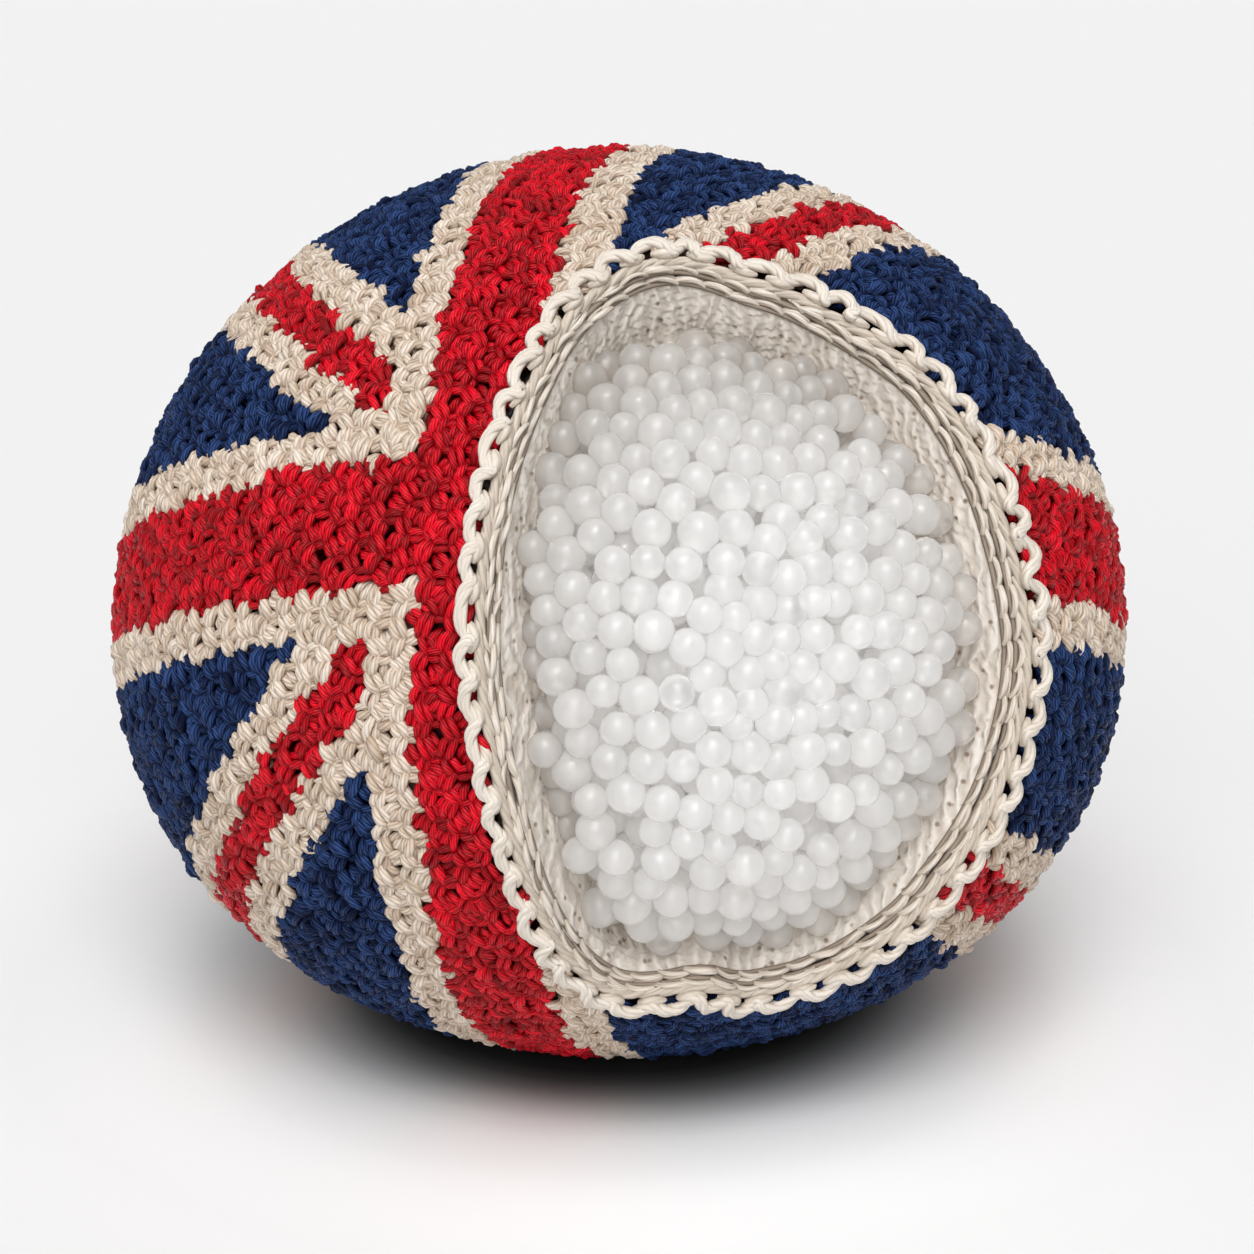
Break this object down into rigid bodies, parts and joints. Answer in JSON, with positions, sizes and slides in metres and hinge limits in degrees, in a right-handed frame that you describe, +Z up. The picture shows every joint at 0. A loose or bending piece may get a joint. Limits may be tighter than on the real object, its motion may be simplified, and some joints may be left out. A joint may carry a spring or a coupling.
{
  "type": "footbag",
  "caption": "Round crocheted footbag in a flag pattern, with a trimmed oval window in its side showing frosted pellets.",
  "frame": {"origin": "middle of the flattened bottom that the bag rests on", "axes": "+Z up, -Y out of the patterned face with the window, +X to the right of that face"},
  "size_m": [0.06, 0.0597, 0.0516],
  "materials": {
    "red_yarn": "plied cotton, crocheted",
    "navy_yarn": "plied cotton, crocheted",
    "cream_yarn": "plied cotton, crocheted",
    "edging_yarn": "smooth plied cord, crocheted",
    "lining_cloth": "soft puckered cloth",
    "frosted_pellet": "frosted, translucent"
  },
  "bodies": {
    "root": {"red_cross": "red_yarn", "red_diagonal_upper_left": "red_yarn", "cream_border_upper_left": "cream_yarn", "navy_field_upper_left_a": "navy_yarn", "navy_field_upper_left_b": "navy_yarn", "red_diagonal_lower_left": "red_yarn", "cream_border_lower_left": "cream_yarn", "navy_field_lower_left_a": "navy_yarn", "navy_field_lower_left_b": "navy_yarn", "red_diagonal_lower_right": "red_yarn", "cream_border_lower_right": "cream_yarn", "navy_field_lower_right_a": "navy_yarn", "navy_field_lower_right_b": "navy_yarn", "red_diagonal_upper_right": "red_yarn", "cream_border_upper_right": "cream_yarn", "navy_field_upper_right_a": "navy_yarn", "navy_field_upper_right_b": "navy_yarn", "scalloped_edging": "edging_yarn", "outer_chain_row": "edging_yarn", "inner_chain_row": "edging_yarn", "window_hem": "lining_cloth", "lining_bag": "lining_cloth", "pellet_fill": "frosted_pellet", "pellet_01": "frosted_pellet", "pellet_02": "frosted_pellet", "pellet_03": "frosted_pellet", "pellet_04": "frosted_pellet", "pellet_05": "frosted_pellet", "pellet_06": "frosted_pellet", "pellet_07": "frosted_pellet", "pellet_08": "frosted_pellet", "pellet_09": "frosted_pellet", "pellet_10": "frosted_pellet", "pellet_11": "frosted_pellet", "pellet_12": "frosted_pellet", "pellet_13": "frosted_pellet", "pellet_14": "frosted_pellet", "pellet_15": "frosted_pellet", "pellet_16": "frosted_pellet", "pellet_17": "frosted_pellet", "pellet_18": "frosted_pellet", "pellet_19": "frosted_pellet", "pellet_20": "frosted_pellet", "pellet_21": "frosted_pellet", "pellet_22": "frosted_pellet", "pellet_23": "frosted_pellet", "pellet_24": "frosted_pellet", "pellet_25": "frosted_pellet", "pellet_26": "frosted_pellet", "pellet_27": "frosted_pellet", "pellet_28": "frosted_pellet", "pellet_29": "frosted_pellet", "pellet_30": "frosted_pellet", "pellet_31": "frosted_pellet", "pellet_32": "frosted_pellet", "pellet_33": "frosted_pellet"}
  },
  "joints": []
}
